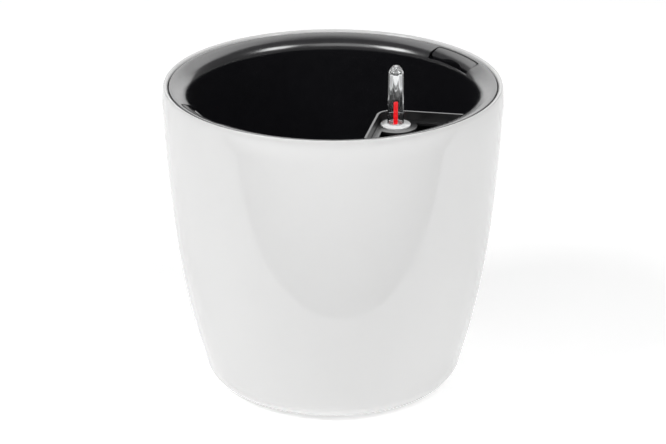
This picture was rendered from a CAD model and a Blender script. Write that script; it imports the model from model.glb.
"""Self-watering planter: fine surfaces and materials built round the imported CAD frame."""

import math

import bmesh
import bpy
from mathutils import Matrix, Vector


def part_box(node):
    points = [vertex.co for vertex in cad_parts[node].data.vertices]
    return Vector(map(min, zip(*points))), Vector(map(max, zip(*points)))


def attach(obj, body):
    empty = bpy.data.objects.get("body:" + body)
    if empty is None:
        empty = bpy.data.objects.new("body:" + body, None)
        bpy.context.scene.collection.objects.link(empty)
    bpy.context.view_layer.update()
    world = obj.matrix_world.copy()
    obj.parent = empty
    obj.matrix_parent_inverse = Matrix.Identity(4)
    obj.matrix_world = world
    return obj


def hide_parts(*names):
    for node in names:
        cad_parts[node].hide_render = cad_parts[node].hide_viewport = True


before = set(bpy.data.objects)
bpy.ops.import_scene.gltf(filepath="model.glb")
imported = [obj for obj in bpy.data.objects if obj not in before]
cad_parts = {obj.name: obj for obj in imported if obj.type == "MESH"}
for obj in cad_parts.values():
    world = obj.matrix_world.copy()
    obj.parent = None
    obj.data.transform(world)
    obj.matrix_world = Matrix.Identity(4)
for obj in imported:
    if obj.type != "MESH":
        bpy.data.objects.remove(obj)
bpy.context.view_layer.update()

MM = 0.001
GAP = 0.3 * MM

# Where the CAD pieces lie
POT_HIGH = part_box("planter_shell")[1]
LINER_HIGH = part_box("liner_tub")[1]
HANDLE_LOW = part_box("right_handle")[0]
SEPARATOR_LOW, SEPARATOR_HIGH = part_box("separator_plate")
SHAFT_LOW, SHAFT_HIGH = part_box("supply_shaft")
FRAME_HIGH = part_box("shaft_frame")[1]
DOME_LOW, DOME_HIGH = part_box("indicator_dome")
INDICATOR_AT = Vector(((DOME_LOW.x + DOME_HIGH.x) / 2, (DOME_LOW.y + DOME_HIGH.y) / 2, 0))

# How finely round pieces are made
POT_STEPS = 240
PART_STEPS = 72

# Outer pot
POT_RADIUS = POT_HIGH.x
POT_HEIGHT = POT_HIGH.z
SHELL_WALL = 3.5 * MM
SHOULDER_Z = 244 * MM
FOOT_FLAT_RADIUS = 85 * MM
FOOT_EDGE_RADIUS = 24 * MM
FOOT_RING_INNER = 66.5 * MM
SHELL_FLOOR = (4 * MM, 7.5 * MM)
LIP_CREST = 138 * MM
LIP_INNER = 135.3 * MM
LEDGE_INNER = 132.9 * MM
LEDGE_Z = 247 * MM
DRAIN_RADIUS = 9 * MM
POT_DRAFT = 13 * MM  # how far the wall draws in evenly, from the shoulder to the floor
POT_TUCK = 25 * MM  # how far it draws in besides, mostly near the foot
POT_TUCK_POWER = 2.77

# Liner
LINER_TOP = LINER_HIGH.z
RIM_OUTER = LINER_HIGH.x - 0.25 * MM
LINER_WALL = 2.2 * MM
LINER_FLOOR_TOP = 13 * MM
LINER_MOUTH = 118 * MM
LINER_MOUTH_Z = 246 * MM
LINER_DRAFT = 0.0697
LINER_CORNER = 12 * MM
LINER_FOOT_RADII = (78.5 * MM, 82 * MM)
RIM_CREASE = (127.1 * MM, 256.5 * MM)
RIM_ROUND = (11.5 * MM, 10.2 * MM)
SKIRT = 1.8 * MM
SKIRT_TOP_Z = 255 * MM
GUIDE_Z = (208 * MM, 224 * MM)
GUIDE_RADII = (116.9 * MM, 132 * MM)
GUIDE_HALF_WIDTH = 7 * MM
RIM_CUT_Z = (240 * MM, 262 * MM)  # cutters of this height go right through the rim and the plates

# Handles
POCKET_HALF_LENGTH = 27.9 * MM
POCKET_RADII = (119.9 * MM, 131.9 * MM)
POCKET_LIP_Z = 250.3 * MM
PLATE_HALF_LENGTH = 26.6 * MM
PLATE_RADII = (122.0 * MM, 130.6 * MM)
PLATE_CORNER = 1.8 * MM
PLATE_UNDERSIDE = 247.6 * MM
NOTCH_RADIUS = 35.4 * MM
NOTCH_REACH = 123.6 * MM
LEG_ANGLE = math.radians(9.3)
LEG_RADII = (126.8 * MM, 129.8 * MM)
LEG_HALF_WIDTH = 4.5 * MM
LEG_STOP = (2 * MM, 4 * MM)
LEG_TOP_Z = 252 * MM

# Supply shaft and its frame
SHAFT_APEX = 66 * MM
SHAFT_HALF_ANGLE = math.radians(45.4)
SHAFT_WALL = 1.8 * MM
SHAFT_CORNER = 13.5 * MM
SHAFT_ARM = 90 * MM  # how far its walls run before the liner's wall trims them
FRAME_WIDTH = 5.6 * MM
SEAT_RADIUS = 17.3 * MM
FRAME_Z = (FRAME_HIGH.z - 2 * MM, FRAME_HIGH.z)

# Separator and cups
SEPARATOR_RADIUS = SEPARATOR_HIGH.x
SEPARATOR_THICKNESS = 2.5 * MM
SEPARATOR_CUT_Z = (70 * MM, 90 * MM)  # cutters of this height go right through it
SLOT_CIRCLES = (22 * MM, 64 * MM, 92 * MM)
SLOT_HALF_SIZES = (6 * MM, 1.6 * MM)
CUP_COUNT = 5
CUP_CIRCLE = 58 * MM
CUP_RADII = (12 * MM, 17 * MM)
CUP_WALL = 1.6 * MM
CUP_COLLAR = (20 * MM, 1.6 * MM)
CUP_SLOT_Z = (22 * MM, 58 * MM)
CUP_SLOT_HALF_WIDTH = 1.8 * MM

# Indicator
DOME_RADII = (6.5 * MM, 6 * MM)
DOME_WALL = 0.9 * MM
DOME_TAPER_Z = 293.2 * MM
FLANGE = (DOME_HIGH.x, 1.3 * MM)
DOME_FILLET = 0.7 * MM
DOME_TIP_WALL = 1.2 * MM
FLUTES = 8
FLUTE_TURN = math.radians(33.2)  # where the first rib stands
FLUTE_DEPTH = 0.45 * MM
FLUTE_SHAPE = 0.6  # below 1, the flutes are wide and the ribs narrow
FLUTE_RUN_IN = (1.2 * MM, 2.4 * MM)  # how far below the taper they begin, and how soon they are deep
FLUTE_FADE = (0.5 * MM, 3 * MM)  # no flutes inside the first radius, full depth outside the second
TUBE_RADII = (5.3 * MM, 6.6 * MM)

# The camera: where it stands round the pot, how high, how far, and what it looks at
CAMERA_AZIMUTH = math.radians(-34.3)
CAMERA_ELEVATION = 22.35
CAMERA_DISTANCE = 2.2
CAMERA_TARGET = Vector((0, 0, 0.1355))
CAMERA_LENS = 142.2

# The stage: its light, the floor, and a card in front of the pot
ROOM_GLOW = 0.2
FLOOR_GLOW = 0.33
FLAG_EDGE = 0.24  # how far in front of the axis the card begins
FLAG_HALF_SIZES = (1.6, 0.75)
FLAG_TURN = math.radians(5)
FLAG_GLOW = (0.1, 2.0)  # its radiance at that edge and further out
FLAG_FADE = 0.4  # over what length the radiance rises

# Soft panels: name, azimuth and elevation as round_pot takes them, distance, width and height, radiance
PANELS = (
    ("backdrop", 180, 19, 3.0, (4.0, 1.1), 1.0),
    ("back_top", 180, 45, 2.6, (2.8, 1.2), 1.0),
    ("front_left", -60, 45, 2.2, (0.8, 0.8), 9),
    ("front_right", 56, 47, 2.2, (0.8, 0.8), 7),
    ("front_top", -10, 52, 2.6, (2.0, 1.2), 1.3),
)


# ---------------------------------------------------------------- outlines


def arc(centre, radii, start, end, steps):
    """Points of an elliptical arc in (r, z), angles in degrees, both ends included."""
    points = []
    for i in range(steps + 1):
        angle = math.radians(start + (end - start) * i / steps)
        points.append((centre[0] + radii[0] * math.cos(angle), centre[1] + radii[1] * math.sin(angle)))
    return points


def bezier(a, b, c, d, steps):
    """Points of a cubic Bezier curve, both ends included."""
    points = []
    for i in range(steps + 1):
        t = i / steps
        u = 1 - t
        weights = (u * u * u, 3 * u * u * t, 3 * u * t * t, t * t * t)
        points.append(tuple(sum(w * p[k] for w, p in zip(weights, (a, b, c, d))) for k in (0, 1)))
    return points


def spaced(low, high, count):
    return [low + (high - low) * i / (count - 1) for i in range(count)]


def rounded(outline, radius):
    """A polygon's corners rounded; a corner with no room for it is left as it is."""
    steps = 8
    points = []
    count = len(outline)
    for i in range(count):
        here = Vector(outline[i])
        before = Vector(outline[i - 1]) - here
        after = Vector(outline[(i + 1) % count]) - here
        half = before.angle(after) / 2
        reach = radius / math.tan(half)
        if half > math.radians(80) or reach > min(before.length, after.length) * 0.95:
            points.append(tuple(here))
            continue
        start = here + before.normalized() * reach
        end = here + after.normalized() * reach
        centre = here + (before.normalized() + after.normalized()).normalized() * radius / math.sin(half)
        for k in range(steps + 1):
            way = start.lerp(end, k / steps) - centre
            points.append(tuple(centre + way.normalized() * radius))
    return points


def arc_strip(radii, half_length, corner):
    """The (x, y) outline between two radii, centred on +X, with parallel ends and round corners."""
    steps = 12
    sides = []
    for radius in radii:
        half_angle = math.asin(half_length / radius)
        angles = [half_angle * (2 * i / steps - 1) for i in range(steps + 1)]
        sides.append([(radius * math.cos(a), radius * math.sin(a)) for a in angles])
    inner, outer = sides
    return rounded(outer + inner[::-1], corner)


# ---------------------------------------------------------------- meshes


def object_of(name, bm):
    bmesh.ops.remove_doubles(bm, verts=bm.verts, dist=1e-6)
    loose = [edge for edge in bm.edges if not edge.link_faces]
    bmesh.ops.delete(bm, geom=loose, context="EDGES")
    bmesh.ops.recalc_face_normals(bm, faces=bm.faces)
    mesh = bpy.data.meshes.new(name)
    bm.to_mesh(mesh)
    bm.free()
    obj = bpy.data.objects.new(name, mesh)
    bpy.context.scene.collection.objects.link(obj)
    return obj


def turned(name, outline, steps=PART_STEPS, sweep=math.tau):
    """A closed (r, z) outline turned about the Z axis, centred on +X if it isn't a full turn."""
    bm = bmesh.new()
    whole = sweep > math.tau - 1e-6
    start = 0 if whole else -sweep / 2
    ring = [bm.verts.new((r * math.cos(start), r * math.sin(start), z)) for r, z in outline]
    edges = [bm.edges.new((ring[i - 1], ring[i])) for i in range(len(ring))]
    bmesh.ops.spin(bm, geom=ring + edges, axis=(0, 0, 1), angle=sweep, steps=steps, use_merge=whole)
    if not whole:
        bmesh.ops.holes_fill(bm, edges=[edge for edge in bm.edges if edge.is_boundary])
    return object_of(name, bm)


def extruded(name, points, way):
    """A flat face through these points in space, drawn out to a solid."""
    bm = bmesh.new()
    face = bm.faces.new([bm.verts.new(point) for point in points])
    made = bmesh.ops.extrude_face_region(bm, geom=[face])
    far = [item for item in made["geom"] if isinstance(item, bmesh.types.BMVert)]
    bmesh.ops.translate(bm, verts=far, vec=way)
    return object_of(name, bm)


def prism(name, outline, low, high):
    """A closed (x, y) outline extruded upwards."""
    return extruded(name, [(x, y, low) for x, y in outline], (0, 0, high - low))


def block(name, low, high):
    """A box between two corners."""
    outline = [(low[0], low[1]), (high[0], low[1]), (high[0], high[1]), (low[0], high[1])]
    return prism(name, outline, low[2], high[2])


def disc(name, radius, low, high, steps=PART_STEPS):
    return turned(name, [(0, low), (radius, low), (radius, high), (0, high)], steps)


def placed(obj, location=(0, 0, 0), turn=0.0):
    """Moves and turns an object's mesh."""
    obj.data.transform(Matrix.Translation(Vector(location)) @ Matrix.Rotation(turn, 4, "Z"))
    return obj


def together(name, *objects):
    """Several separate solids as the loose parts of one object, such as a set of cutters."""
    bm = bmesh.new()
    for obj in objects:
        bm.from_mesh(obj.data)
        bpy.data.objects.remove(obj)
    return object_of(name, bm)


def combine(target, tool, operation):
    """Applies a Boolean to target and removes the tool."""
    modifier = target.modifiers.new(operation.lower(), "BOOLEAN")
    modifier.object = tool
    modifier.operation = operation
    modifier.solver = "EXACT"
    graph = bpy.context.evaluated_depsgraph_get()
    mesh = bpy.data.meshes.new_from_object(target.evaluated_get(graph))
    target.modifiers.clear()
    target.data = mesh
    mesh.name = target.name
    bpy.data.objects.remove(tool)
    return target


def cut(target, *tools):
    for tool in tools:
        combine(target, tool, "DIFFERENCE")
    return target


def join(target, *others):
    for other in others:
        combine(target, other, "UNION")
    return target


def smooth(obj, angle):
    obj.data.shade_smooth()
    obj.data.set_sharp_from_angle(angle=math.radians(angle))
    return obj


def eased(obj, width, angle=40):
    """Breaks the sharp edges with a small moulded radius."""
    obj.data.shade_smooth()
    bevel = obj.modifiers.new("eased_edges", "BEVEL")
    bevel.width = width
    bevel.segments = 2
    bevel.limit_method = "ANGLE"
    bevel.angle_limit = math.radians(angle)
    bevel.use_clamp_overlap = True
    bevel.harden_normals = True
    return obj


def finished(obj, material, body, node):
    """Gives a piece its material and its body, and the CAD node that it stands for."""
    obj.data.materials.clear()
    obj.data.materials.append(material)
    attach(obj, body)
    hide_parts(node)
    return obj


# ---------------------------------------------------------------- materials


class Nodes:
    """A material's node tree, with short names for what the finishes below share."""

    def __init__(self, name):
        self.material = bpy.data.materials.new(name)
        self.material.use_nodes = True
        self.tree = self.material.node_tree
        self.shader = self.tree.nodes["Principled BSDF"]
        self.place = self.node("ShaderNodeTexCoord").outputs["Object"]

    def node(self, kind, **settings):
        made = self.tree.nodes.new(kind)
        for key, value in settings.items():
            setattr(made, key, value)
        return made

    def link(self, source, target):
        self.tree.links.new(source, target)

    def set(self, **values):
        for key, value in values.items():
            self.shader.inputs[key.replace("_", " ")].default_value = value

    def noise(self, per_metre, detail=3.0, roughness=0.5, stretch=(1, 1, 1)):
        mapping = self.node("ShaderNodeMapping")
        mapping.inputs["Scale"].default_value = stretch
        self.link(self.place, mapping.inputs["Vector"])
        made = self.node("ShaderNodeTexNoise")
        made.inputs["Scale"].default_value = per_metre
        made.inputs["Detail"].default_value = detail
        made.inputs["Roughness"].default_value = roughness
        self.link(mapping.outputs["Vector"], made.inputs["Vector"])
        return made.outputs["Fac"]

    def ramp(self, value, low, high, start=0.3, end=0.7):
        """Maps a noise value to a range of grey values or colours."""
        made = self.node("ShaderNodeValToRGB")
        made.color_ramp.elements[0].position = start
        made.color_ramp.elements[1].position = end
        made.color_ramp.elements[0].color = (*low, 1)
        made.color_ramp.elements[1].color = (*high, 1)
        self.link(value, made.inputs["Fac"])
        return made.outputs["Color"]

    def spread(self, value, low, high, start=0.3, end=0.7):
        """Maps a noise value to a range of numbers."""
        made = self.node("ShaderNodeMapRange")
        made.inputs["From Min"].default_value = start
        made.inputs["From Max"].default_value = end
        made.inputs["To Min"].default_value = low
        made.inputs["To Max"].default_value = high
        self.link(value, made.inputs["Value"])
        return made.outputs["Result"]

    def bump(self, height, strength, distance):
        made = self.node("ShaderNodeBump")
        made.inputs["Strength"].default_value = strength
        made.inputs["Distance"].default_value = distance
        self.link(height, made.inputs["Height"])
        previous = self.shader.inputs["Normal"].links
        if previous:
            self.link(previous[0].from_socket, made.inputs["Normal"])
        self.link(made.outputs["Normal"], self.shader.inputs["Normal"])


def grey(value, tint=(1, 1, 1)):
    return tuple(value * t for t in tint)


def lacquer(name, colour):
    """High-gloss lacquer: a deep clear finish with a faint orange peel and faint wiping marks."""
    nodes = Nodes(name)
    clouds = nodes.noise(9, 2)
    nodes.link(nodes.ramp(clouds, grey(0.985, colour), colour), nodes.shader.inputs["Base Color"])
    marks = nodes.noise(60, 4, 0.6, (1, 1, 0.35))
    nodes.link(nodes.spread(marks, 0.035, 0.075), nodes.shader.inputs["Roughness"])
    nodes.set(IOR=1.5)
    nodes.bump(nodes.noise(420, 1.5), 0.05, 0.05 * MM)
    return nodes.material


def moulded(name, colour, roughness, grain=900, depth=0.12, shine=0.5, skin=0.0):
    """Injection-moulded plastic: a fine spark-eroded grain, and roughness that drifts a little."""
    nodes = Nodes(name)
    clouds = nodes.noise(35, 3)
    nodes.link(nodes.ramp(clouds, grey(0.88, colour), grey(1.1, colour)), nodes.shader.inputs["Base Color"])
    drift = nodes.noise(140, 4, 0.6)
    nodes.link(nodes.spread(drift, roughness * 0.9, roughness * 1.12), nodes.shader.inputs["Roughness"])
    nodes.set(IOR=1.5, Specular_IOR_Level=shine, Coat_Weight=skin, Coat_Roughness=0.2)
    nodes.bump(nodes.noise(grain, 2, 0.6), depth, 0.08 * MM)
    return nodes.material


def clear_plastic(name):
    """Clear moulded plastic with faint flow lines along the tube, milky where the flange is."""
    nodes = Nodes(name)
    nodes.set(IOR=1.5)
    nodes.shader.inputs["Base Color"].default_value = (0.97, 0.98, 0.985, 1)
    split = nodes.node("ShaderNodeSeparateXYZ")
    nodes.link(nodes.place, split.inputs[0])
    low = DOME_LOW.z + FLANGE[1]
    clear = nodes.spread(split.outputs["Z"], 0.12, 1.0, low + 0.2 * MM, low + 1.6 * MM)
    nodes.link(clear, nodes.shader.inputs["Transmission Weight"])
    nodes.link(nodes.spread(nodes.noise(300, 3), 0.01, 0.05), nodes.shader.inputs["Roughness"])
    nodes.bump(nodes.noise(500, 2, 0.5, (1, 1, 0.08)), 0.08, 0.05 * MM)
    return nodes.material


def glowing_red(name):
    """Fluorescent red plastic, which gives back more red than falls on it."""
    nodes = Nodes(name)
    clouds = nodes.noise(200, 2)
    reds = nodes.ramp(clouds, (0.9, 0.006, 0.012), (0.95, 0.01, 0.018))
    nodes.link(reds, nodes.shader.inputs["Base Color"])
    nodes.set(Roughness=0.35, Emission_Strength=0.6)
    nodes.shader.inputs["Emission Color"].default_value = (1, 0.004, 0.01, 1)
    return nodes.material


def foam(name):
    """Closed-cell foam: small cells under a matt skin."""
    nodes = Nodes(name)
    cells = nodes.node("ShaderNodeTexVoronoi")
    cells.inputs["Scale"].default_value = 1400
    nodes.link(nodes.place, cells.inputs["Vector"])
    colours = nodes.ramp(cells.outputs["Distance"], (0.86, 0.86, 0.83), (0.72, 0.72, 0.69), 0.1, 0.9)
    nodes.link(colours, nodes.shader.inputs["Base Color"])
    nodes.link(nodes.spread(nodes.noise(300), 0.55, 0.75), nodes.shader.inputs["Roughness"])
    nodes.bump(cells.outputs["Distance"], 0.4, 0.15 * MM)
    return nodes.material


# ---------------------------------------------------------------- outer pot


def pot_radius(z):
    """The pot's outer radius below its shoulder: nearly upright at the top, drawn in towards the foot."""
    depth = (SHOULDER_Z - z) / SHOULDER_Z
    return POT_RADIUS - POT_DRAFT * depth - POT_TUCK * depth**POT_TUCK_POWER


def shell_outline():
    foot = arc((FOOT_FLAT_RADIUS, FOOT_EDGE_RADIUS), (FOOT_EDGE_RADIUS, FOOT_EDGE_RADIUS), -90, -14, 24)
    wall = [(pot_radius(z), z) for z in spaced(30 * MM, SHOULDER_Z, 60)]
    lip = arc((LIP_CREST, SHOULDER_Z), (POT_RADIUS - LIP_CREST, POT_HEIGHT - SHOULDER_Z), 2, 90, 24)
    inner_lip = bezier(
        (LIP_CREST, POT_HEIGHT),
        (LIP_CREST - 1.3 * MM, POT_HEIGHT),
        (LIP_INNER + 0.1 * MM, POT_HEIGHT - 1 * MM),
        (LIP_INNER, POT_HEIGHT - 2.2 * MM),
        8,
    )
    ledge = [
        (LIP_INNER, LEDGE_Z),
        (LEDGE_INNER, LEDGE_Z),
        (LEDGE_INNER, LEDGE_Z - 2 * MM),
        (POT_RADIUS - SHELL_WALL, LEDGE_Z - 6 * MM),
    ]
    inner_wall = [(pot_radius(z) - SHELL_WALL, z) for z in spaced(228 * MM, 34 * MM, 24)]
    inner_round = FOOT_EDGE_RADIUS - SHELL_FLOOR[1]
    inner_foot = arc((90 * MM, FOOT_EDGE_RADIUS), (inner_round, inner_round), -12, -90, 8)
    floor = [(DRAIN_RADIUS, SHELL_FLOOR[1]), (DRAIN_RADIUS, SHELL_FLOOR[0])]
    recess = [(FOOT_RING_INNER - 2.5 * MM, SHELL_FLOOR[0]), (FOOT_RING_INNER, 0)]
    return recess + foot + wall + lip + inner_lip[1:] + ledge + inner_wall + inner_foot + floor


def outer_pot(white):
    shell = smooth(turned("pot_shell", shell_outline(), POT_STEPS), 30)
    finished(shell, white, "outer_pot", "planter_shell")


# ---------------------------------------------------------------- liner


def liner_radius(z):
    return LINER_MOUTH - (LINER_MOUTH_Z - z) * LINER_DRAFT


def rim_round(inset, steps, end=102):
    """The rim's rounded inner shoulder, from the wall up; a positive inset moves it into the plastic."""
    centre = (LINER_MOUTH + RIM_ROUND[0], LINER_MOUTH_Z + 0.5 * MM)
    return arc(centre, (RIM_ROUND[0] - inset, RIM_ROUND[1] - inset), 180, end, steps)


def liner_outline():
    corner = (liner_radius(25 * MM) - LINER_CORNER, LINER_FLOOR_TOP + LINER_CORNER)
    outer_corner = LINER_CORNER + LINER_WALL
    underside = corner[1] - outer_corner
    inside = [(DRAIN_RADIUS, LINER_FLOOR_TOP)] + arc(corner, (LINER_CORNER,) * 2, -90, -5, 10)
    inner_round = rim_round(0, 22, 115)
    start = inner_round[-1]
    edge = (RIM_OUTER - 0.6 * MM, LINER_TOP)
    crown = bezier(
        start,
        (start[0] + 3.2 * MM, start[1] + 1.32 * MM),
        (edge[0] - 3.2 * MM, edge[1] - 0.16 * MM),
        edge,
        12,
    )
    rim = crown[1:-1] + arc((edge[0], edge[1] - 0.6 * MM), (0.6 * MM,) * 2, 90, 0, 5)
    skirt_foot = LEDGE_Z + GAP
    skirt = [(RIM_OUTER, skirt_foot), (RIM_OUTER - SKIRT, skirt_foot), (RIM_OUTER - SKIRT, SKIRT_TOP_Z)]
    under_rim = list(reversed(rim_round(LINER_WALL, 8)))
    outside = arc(corner, (outer_corner,) * 2, -5, -90, 10)
    foot_inner, foot_outer = LINER_FOOT_RADII
    foot_ring = [
        (foot_outer, underside),
        (foot_outer, SHELL_FLOOR[1] + GAP),
        (foot_inner, SHELL_FLOOR[1] + GAP),
        (foot_inner, underside),
        (DRAIN_RADIUS, underside),
    ]
    return inside + inner_round + rim + skirt + under_rim + outside + foot_ring


def leg_guide(side):
    """A sleeve behind the liner's wall, in which a handle's leg slides."""
    low, high = GUIDE_Z
    inner, outer = GUIDE_RADII
    play = 0.5 * MM
    sleeve = block("sleeve", (inner, -GUIDE_HALF_WIDTH, low), (outer, GUIDE_HALF_WIDTH, high))
    channel_low = (LEG_RADII[0] - play, -LEG_HALF_WIDTH - play, low - 1 * MM)
    channel_high = (LEG_RADII[1] + play, LEG_HALF_WIDTH + play, high + 1 * MM)
    cut(sleeve, block("channel", channel_low, channel_high))
    return placed(sleeve, turn=side * LEG_ANGLE)


def liner(plastic):
    """The inner pot, with a pocket for each handle and a lower lip on the pocket's inner side."""
    tub = turned("liner", liner_outline(), POT_STEPS)
    lip_radii = (POCKET_RADII[0] - 4 * MM, POCKET_RADII[0] + 1 * MM)
    pockets = []
    trims = []
    guides = []
    for end in (0, math.pi):
        outline = arc_strip(POCKET_RADII, POCKET_HALF_LENGTH, PLATE_CORNER + 0.4 * MM)
        pockets.append(placed(prism("pocket", outline, *RIM_CUT_Z), turn=end))
        outline = arc_strip(lip_radii, POCKET_HALF_LENGTH - 1.1 * MM, 0.5 * MM)
        trims.append(placed(prism("lip_trim", outline, POCKET_LIP_Z, RIM_CUT_Z[1]), turn=end))
        guides += [placed(leg_guide(side), turn=end) for side in (-1, 1)]
    cut(tub, together("pockets", *pockets), together("trims", *trims))
    join(tub, together("guides", *guides))
    eased(tub, 0.25 * MM, 32)
    finished(tub, plastic, "liner", "liner_tub")


def plate_section():
    """The handle plate's (r, z) section: flush with the rim outside, rounding down to the pocket's lip."""
    inner, outer = PLATE_RADII
    top = bezier(
        (inner - 1 * MM, 250.9 * MM),
        (inner + 1 * MM, 253.9 * MM),
        (inner + 4.8 * MM, 256.9 * MM),
        (outer + 1 * MM, 258.05 * MM),
        14,
    )
    below = [
        (outer + 1 * MM, 250 * MM),
        (inner + 5 * MM, PLATE_UNDERSIDE),
        (inner - 1 * MM, PLATE_UNDERSIDE),
    ]
    return top + below


def plate_plan():
    """The handle plate in plan: a strip along the rim with a shallow finger notch in its inner edge."""
    inner, outer = PLATE_RADII
    centre = NOTCH_REACH - NOTCH_RADIUS
    start = math.acos((inner**2 + centre**2 - NOTCH_RADIUS**2) / (2 * inner * centre))
    notch_end = math.degrees(math.atan2(inner * math.sin(start), inner * math.cos(start) - centre))
    ends = [math.degrees(math.asin(PLATE_HALF_LENGTH / radius)) for radius in PLATE_RADII]
    start = math.degrees(start)
    outline = arc((0, 0), (outer, outer), -ends[1], ends[1], 12)
    outline += arc((0, 0), (inner, inner), ends[0], start, 3)
    outline += arc((centre, 0), (NOTCH_RADIUS, NOTCH_RADIUS), notch_end, -notch_end, 20)[1:-1]
    outline += arc((0, 0), (inner, inner), -start, -ends[0], 3)
    return rounded(outline, PLATE_CORNER)


def handle_leg():
    """A leg that widens to a stop at its foot; its top end stands in the plate."""
    sideways, tall = LEG_STOP
    foot = HANDLE_LOW.z
    half = LEG_HALF_WIDTH
    side = [(half + sideways, foot), (half + sideways, foot + tall), (half, foot + tall), (half, LEG_TOP_Z)]
    outline = side + [(-y, z) for y, z in reversed(side)]
    inner, outer = LEG_RADII
    return extruded("leg", [(inner, y, z) for y, z in outline], (outer - inner, 0, 0))


def handle_mesh(name):
    """A retractable handle: a flush plate with a finger notch, and two legs with stops at their feet."""
    sweep = 2 * math.asin(PLATE_HALF_LENGTH / PLATE_RADII[0]) + math.radians(3)
    made = turned(name, plate_section(), 32, sweep)
    combine(made, prism("plate_plan", plate_plan(), *RIM_CUT_Z), "INTERSECT")
    legs = [placed(handle_leg(), turn=side * LEG_ANGLE) for side in (-1, 1)]
    return together(name, made, *legs)


def handles(plastic):
    for name, node, turn in (("handle_right", "right_handle", 0), ("handle_left", "left_handle", math.pi)):
        made = placed(handle_mesh(name), turn=turn)
        eased(made, 0.2 * MM, 32)
        finished(made, plastic, node, node)


# ---------------------------------------------------------------- supply shaft


def liner_cavity():
    """A solid that fills the liner with a small clearance, to trim what stands against its wall."""
    play = 0.5 * MM
    low, high = 60 * MM, 270 * MM
    rim = [(RIM_CREASE[0], RIM_CREASE[1] + play), (LIP_INNER, LINER_TOP + play)]
    wall = [(liner_radius(low) - play, low), (LINER_MOUTH - play, LINER_MOUTH_Z)]
    outline = [(0, low)] + wall + rim_round(-play, 16) + rim + [(LIP_INNER, high), (0, high)]
    return turned("cavity", outline, 180)


def shaft_vee(offset):
    """The V of the supply shaft in plan, its faces moved inwards by offset, apex towards the axis."""
    apex = Vector((0, -SHAFT_APEX - offset / math.sin(SHAFT_HALF_ANGLE)))
    reach = Vector((math.sin(SHAFT_HALF_ANGLE), math.cos(SHAFT_HALF_ANGLE))) * SHAFT_ARM
    radius = max(SHAFT_CORNER - offset, 1 * MM)
    centre = apex - Vector((0, radius / math.sin(SHAFT_HALF_ANGLE)))
    steps = 20
    bend = []
    for i in range(steps + 1):
        angle = (math.pi - 2 * SHAFT_HALF_ANGLE) * (i / steps - 0.5)
        bend.append(tuple(centre + Vector((math.sin(angle), math.cos(angle))) * radius))
    return [(-reach.x, apex.y - reach.y)] + bend + [(reach.x, apex.y - reach.y)]


def vee_solid(name, offset, low, high):
    return prism(name, shaft_vee(offset), low, high)


def supply_shaft(plastic):
    """The shaft's walls, with a narrow shelf inside them on which the frame rests."""
    foot, top = SHAFT_LOW.z, SHAFT_HIGH.z
    made = vee_solid("shaft_walls", 0, foot, top)
    shelf = 1.4 * MM
    shelf_z = (FRAME_Z[0] - 3 * MM, FRAME_Z[0] - GAP)
    cut(made, vee_solid("inside_low", SHAFT_WALL, foot - 1 * MM, shelf_z[0]))
    cut(made, vee_solid("inside_shelf", SHAFT_WALL + shelf, foot, shelf_z[1]))
    cut(made, vee_solid("inside_high", SHAFT_WALL, shelf_z[1], top + 1 * MM))
    combine(made, liner_cavity(), "INTERSECT")
    eased(made, 0.45 * MM, 50)
    finished(made, plastic, "irrigation_set", "supply_shaft")


def shaft_frame(plastic):
    """The frame in the shaft's mouth, which widens to a round seat with a boss for the indicator."""
    low, high = FRAME_Z
    made = vee_solid("shaft_tray", SHAFT_WALL + GAP, low, high)
    combine(made, liner_cavity(), "INTERSECT")
    mouth = vee_solid("mouth", SHAFT_WALL + FRAME_WIDTH, low - 1 * MM, high + 1 * MM)
    cut(mouth, placed(disc("seat", SEAT_RADIUS, low - 2 * MM, high + 2 * MM), INDICATOR_AT))
    cut(made, mouth)
    boss_radius = TUBE_RADII[1] + 2.2 * MM
    join(made, placed(disc("boss", boss_radius, low - 8 * MM, high - 0.9 * MM), INDICATOR_AT))
    hole_radius = TUBE_RADII[1] + 0.5 * MM
    cut(made, placed(disc("hole", hole_radius, low - 9 * MM, high + 1 * MM), INDICATOR_AT))
    eased(made, 0.4 * MM, 50)
    finished(made, plastic, "irrigation_set", "shaft_frame")


# ---------------------------------------------------------------- separator and cups


def cup_angles():
    return [math.radians(90 + 360 / CUP_COUNT * i) for i in range(CUP_COUNT)]


def cup_centre(angle):
    return Vector((CUP_CIRCLE * math.cos(angle), CUP_CIRCLE * math.sin(angle), 0))


def slot_positions():
    """(radius, angle in degrees) of the separator's drainage slots, clear of the cups and the shaft."""
    inner_circle, middle_circle, outer_circle = SLOT_CIRCLES
    shaft_at = 270
    inner = [(inner_circle, 45 + 90 * i) for i in range(4)]
    between = [(middle_circle, 54 + 360 / CUP_COUNT * i) for i in range(CUP_COUNT)]
    outer = [(outer_circle, -37.5 + 15 * i) for i in range(18)]
    return inner + [slot for slot in between if slot[1] != shaft_at] + outer


def slot_cutter(radius, angle):
    """A slot with round ends that points at the axis."""
    length, half = SLOT_HALF_SIZES
    ends = []
    for end, start in ((radius + length - half, -90), (radius - length + half, 90)):
        ends += arc((end, 0), (half, half), start, start + 180, 8)
    return placed(prism("slot", ends, *SEPARATOR_CUT_Z), turn=math.radians(angle))


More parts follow.
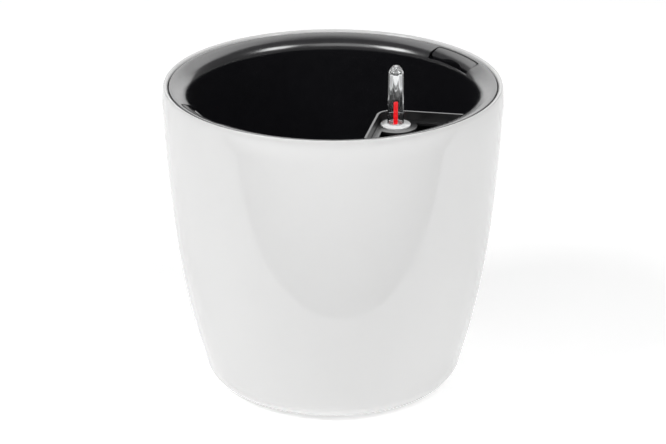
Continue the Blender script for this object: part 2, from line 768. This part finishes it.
def separator(plastic):
    """The plate between soil and reservoir: slots, sockets for the cups, and the shaft's ribbed opening."""
    low = SEPARATOR_LOW.z
    high = low + SEPARATOR_THICKNESS
    made = disc("separator", SEPARATOR_RADIUS, low, high, POT_STEPS)
    rib_top = high + 6 * MM
    rib = vee_solid("rib", SHAFT_WALL + GAP, low + 1 * MM, rib_top)
    combine(rib, disc("trim", SEPARATOR_RADIUS - 1 * MM, *SEPARATOR_CUT_Z, POT_STEPS), "INTERSECT")
    join(made, rib)
    cut(made, vee_solid("opening", SHAFT_WALL + GAP + 1.6 * MM, low - 1 * MM, rib_top + 1 * MM))
    socket = CUP_RADII[1] + 0.3 * MM
    sockets = []
    for angle in cup_angles():
        sockets.append(placed(disc("socket", socket, *SEPARATOR_CUT_Z), cup_centre(angle)))
    slots = [slot_cutter(radius, angle) for radius, angle in slot_positions()]
    cut(made, together("sockets", *sockets), together("slots", *slots))
    eased(made, 0.35 * MM, 50)
    finished(made, plastic, "irrigation_set", "separator_plate")


def wick_cup(name, angle):
    """A cup that hangs in the separator by its collar, with tall slots through its wall."""
    foot, neck = CUP_RADII
    low = LINER_FLOOR_TOP + GAP
    collar_low = SEPARATOR_LOW.z + SEPARATOR_THICKNESS + GAP
    collar_radius, collar_tall = CUP_COLLAR
    outline = [
        (0, low),
        (foot, low),
        (neck, SEPARATOR_LOW.z - 1 * MM),
        (neck, collar_low),
        (collar_radius, collar_low),
        (collar_radius, collar_low + collar_tall),
        (neck - CUP_WALL, collar_low + collar_tall),
        (neck - CUP_WALL, SEPARATOR_LOW.z - 1 * MM),
        (foot - CUP_WALL, low + CUP_WALL),
        (0, low + CUP_WALL),
    ]
    made = turned(name, outline)
    reach = 20 * MM
    half = CUP_SLOT_HALF_WIDTH
    for turn in (0, math.pi / 2):
        slot = block("slot", (-reach, -half, CUP_SLOT_Z[0]), (reach, half, CUP_SLOT_Z[1]))
        cut(made, placed(slot, turn=turn))
    return placed(made, cup_centre(angle), 0 if angle == cup_angles()[0] else angle)


def wick_cups(plastic):
    for i, angle in enumerate(cup_angles()):
        made = eased(wick_cup(f"cup_{i + 1}", angle), 0.35 * MM, 40)
        finished(made, plastic, "irrigation_set", f"wick_cup_{i + 1}")


# ---------------------------------------------------------------- plugs


def copied(node, name):
    """A new object with a CAD node's own mesh, its triangles welded, to be finished further."""
    bm = bmesh.new()
    bm.from_mesh(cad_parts[node].data)
    return object_of(name, bm)


def plugs(grey_plastic, rubber):
    """The two drain plugs, made to the CAD plugs' own shape, and their rubber rings."""
    pot_plug = eased(copied("shell_drain_plug", "pot_plug"), 0.35 * MM)
    finished(pot_plug, grey_plastic, "outer_pot", "shell_drain_plug")
    tub_plug = eased(copied("liner_drain_plug", "tub_plug"), 0.35 * MM)
    finished(tub_plug, grey_plastic, "liner_plug", "liner_drain_plug")
    for node in ("shell_plug_seal", "liner_plug_seal"):
        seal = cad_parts[node]
        seal.data.materials.clear()
        seal.data.materials.append(rubber)


# ---------------------------------------------------------------- indicator


def dome_radius(z):
    """The clear cover's outer radius along its drafted part."""
    low = DOME_LOW.z + FLANGE[1]
    wide, narrow = DOME_RADII
    return wide + (narrow - wide) * (z - low) / (DOME_TAPER_Z - low)


def dome_taper(inset, steps):
    """The tapered top from the drafted part to the blunt tip; inset moves it into the plastic."""
    top = DOME_HIGH.z - inset
    narrow = DOME_RADII[1] - inset
    return bezier(
        (narrow, DOME_TAPER_Z - 0.3 * inset),
        (narrow - 0.6 * MM, DOME_TAPER_Z + 1.3 * MM),
        (narrow - 2.6 * MM, top - 0.4 * MM),
        (max(narrow - 3.9 * MM, 0.2 * MM), top),
        steps,
    )


def fluted(mesh):
    """Presses shallow flutes into the tapered top, with ribs left standing between them."""
    below, run_in = FLUTE_RUN_IN
    smallest, full = FLUTE_FADE
    for vertex in mesh.vertices:
        x, y, z = vertex.co
        radius = math.hypot(x, y)
        rise = min(max((z - DOME_TAPER_Z + below) / run_in, 0), 1)
        if rise == 0 or radius < smallest:
            continue
        wave = 0.5 - 0.5 * math.cos(FLUTES * (math.atan2(y, x) - FLUTE_TURN))
        scale = 1 - FLUTE_DEPTH * rise * wave**FLUTE_SHAPE / radius * min(1.0, radius / full)
        vertex.co.x, vertex.co.y = x * scale, y * scale


def dome(clear):
    """The cover: a flange, a drafted tube and a fluted taper with a blunt tip, hollow all the way up."""
    low, top = DOME_LOW.z, DOME_HIGH.z
    flange_radius, flange_thick = FLANGE
    edge = 0.35 * MM
    outer = [(flange_radius - edge, low)]
    outer += arc((flange_radius - edge, low + edge), (edge, edge), -60, 0, 3)
    outer += arc((flange_radius - edge, low + flange_thick - edge), (edge, edge), 0, 90, 4)
    fillet_centre = (DOME_RADII[0] + DOME_FILLET, low + flange_thick + DOME_FILLET)
    outer += arc(fillet_centre, (DOME_FILLET, DOME_FILLET), 270, 180, 4)
    outer += [(dome_radius(z), z) for z in spaced(low + 3 * MM, DOME_TAPER_Z - 1.5 * MM, 8)]
    outer += dome_taper(0, 16) + [(0, top)]
    inner = [(0, top - DOME_TIP_WALL)] + dome_taper(DOME_TIP_WALL, 12)[::-1]
    inner += [(DOME_RADII[0] - DOME_WALL, low)]
    made = turned("dome", outer + inner, 96)
    fluted(made.data)
    smooth(placed(made, INDICATOR_AT), 50)
    made.visible_glossy = False  # the glossy rim would show specks of the red rod through it
    finished(made, clear, "indicator", "indicator_dome")


def indicator(clear, milky):
    dome(clear)
    for node, name in (("indicator_tube", "guide_tube"), ("indicator_foot", "foot_cap")):
        finished(eased(copied(node, name), 0.25 * MM), milky, "indicator", node)


def float_and_rod(pale_foam, red):
    body = eased(copied("float_body", "float_foam"), 0.6 * MM)
    finished(body, pale_foam, "float", "float_body")
    pointer = eased(copied("float_rod", "pointer"), 0.25 * MM)
    pointer.visible_glossy = False
    finished(pointer, red, "float", "float_rod")


# ---------------------------------------------------------------- stage, light and camera


def floor():
    """A large pale table top, lit a little from below as a light table is."""
    bm = bmesh.new()
    bmesh.ops.create_grid(bm, x_segments=2, y_segments=2, size=8)
    made = object_of("floor", bm)
    nodes = Nodes("pale_floor")
    clouds = nodes.ramp(nodes.noise(3), (0.93, 0.93, 0.93), (0.95, 0.95, 0.95))
    nodes.link(clouds, nodes.shader.inputs["Base Color"])
    nodes.set(Roughness=0.9, Specular_IOR_Level=0.2, Emission_Strength=FLOOR_GLOW)
    nodes.shader.inputs["Emission Color"].default_value = (1, 1, 1, 1)
    made.data.materials.append(nodes.material)


def round_pot(azimuth, elevation, distance):
    """A point round the pot, angles in degrees: azimuth 0 is the camera's side, 90 is to its right."""
    a = CAMERA_AZIMUTH + math.radians(azimuth)
    e = math.radians(elevation)
    way = Vector((math.sin(a) * math.cos(e), -math.cos(a) * math.cos(e), math.sin(e)))
    return CAMERA_TARGET + way * distance


def flag():
    """A card on the table in front of the pot, seen only mirrored in the gloss: dark at its near edge."""
    bm = bmesh.new()
    bmesh.ops.create_grid(bm, x_segments=1, y_segments=1, size=1)
    made = object_of("flag", bm)
    made.data.transform(Matrix.Diagonal((*FLAG_HALF_SIZES, 1, 1)))
    made.data.transform(Matrix.Translation((0, -FLAG_EDGE - FLAG_HALF_SIZES[1], 1 * MM)))
    made.rotation_euler.z = CAMERA_AZIMUTH + FLAG_TURN
    nodes = Nodes("grey_card")
    nodes.set(Roughness=1.0, Specular_IOR_Level=0.0)
    nodes.shader.inputs["Base Color"].default_value = (0.02, 0.02, 0.02, 1)
    nodes.shader.inputs["Emission Color"].default_value = (1, 1, 1, 1)
    along = nodes.node("ShaderNodeSeparateXYZ")
    nodes.link(nodes.place, along.inputs[0])
    near, far = FLAG_GLOW
    glow = nodes.spread(along.outputs["Y"], far, near, -FLAG_EDGE - FLAG_FADE, -FLAG_EDGE)
    nodes.link(glow, nodes.shader.inputs["Emission Strength"])
    made.data.materials.append(nodes.material)
    made.visible_camera = False
    made.visible_diffuse = False
    made.visible_shadow = False


def softbox(name, azimuth, elevation, distance, size, radiance):
    """A soft white panel that faces the pot, as bright everywhere as its radiance says."""
    light = bpy.data.lights.new(name, "AREA")
    light.shape = "RECTANGLE"
    light.size, light.size_y = size
    light.energy = radiance * size[0] * size[1] * math.pi
    made = bpy.data.objects.new(name, light)
    made.location = round_pot(azimuth, elevation, distance)
    made.rotation_euler = (CAMERA_TARGET - made.location).to_track_quat("-Z", "Y").to_euler()
    made.visible_camera = False
    bpy.context.scene.collection.objects.link(made)


def studio():
    world = bpy.data.worlds.new("studio")
    world.use_nodes = True
    background = world.node_tree.nodes["Background"]
    background.inputs["Color"].default_value = (1, 1, 1, 1)
    background.inputs["Strength"].default_value = ROOM_GLOW
    bpy.context.scene.world = world
    for panel in PANELS:
        softbox(*panel)
    bpy.context.scene.view_settings.view_transform = "Standard"
    bpy.context.scene.view_settings.look = "None"


def camera():
    data = bpy.data.cameras.new("camera")
    data.sensor_width = 36
    data.lens = CAMERA_LENS
    data.clip_start, data.clip_end = 0.05, 50
    made = bpy.data.objects.new("camera", data)
    made.location = round_pot(0, CAMERA_ELEVATION, CAMERA_DISTANCE)
    made.rotation_euler = (CAMERA_TARGET - made.location).to_track_quat("-Z", "Y").to_euler()
    bpy.context.scene.collection.objects.link(made)
    bpy.context.scene.camera = made


def main():
    white = lacquer("gloss_white_lacquer", (0.775, 0.775, 0.772))
    anthracite = moulded(
        "satin_anthracite_plastic", (0.008, 0.008, 0.01), 0.24, depth=0.1, shine=1.0, skin=1.0
    )
    black = moulded("matt_black_plastic", (0.016, 0.016, 0.017), 0.34, depth=0.1, shine=1.0, skin=0.8)
    dark_grey = moulded("grey_plastic", (0.09, 0.09, 0.09), 0.45)
    rubber = moulded("rubber", (0.02, 0.02, 0.02), 0.7, grain=600, depth=0.25)
    red = glowing_red("red_plastic")
    clear = clear_plastic("clear_plastic")
    milky = moulded("milky_plastic", (0.8, 0.81, 0.82), 0.25, depth=0.05)
    outer_pot(white)
    liner(anthracite)
    handles(anthracite)
    supply_shaft(black)
    shaft_frame(black)
    separator(black)
    wick_cups(black)
    plugs(dark_grey, rubber)
    indicator(clear, milky)
    float_and_rod(foam("foam"), red)
    floor()
    flag()
    studio()
    camera()


main()
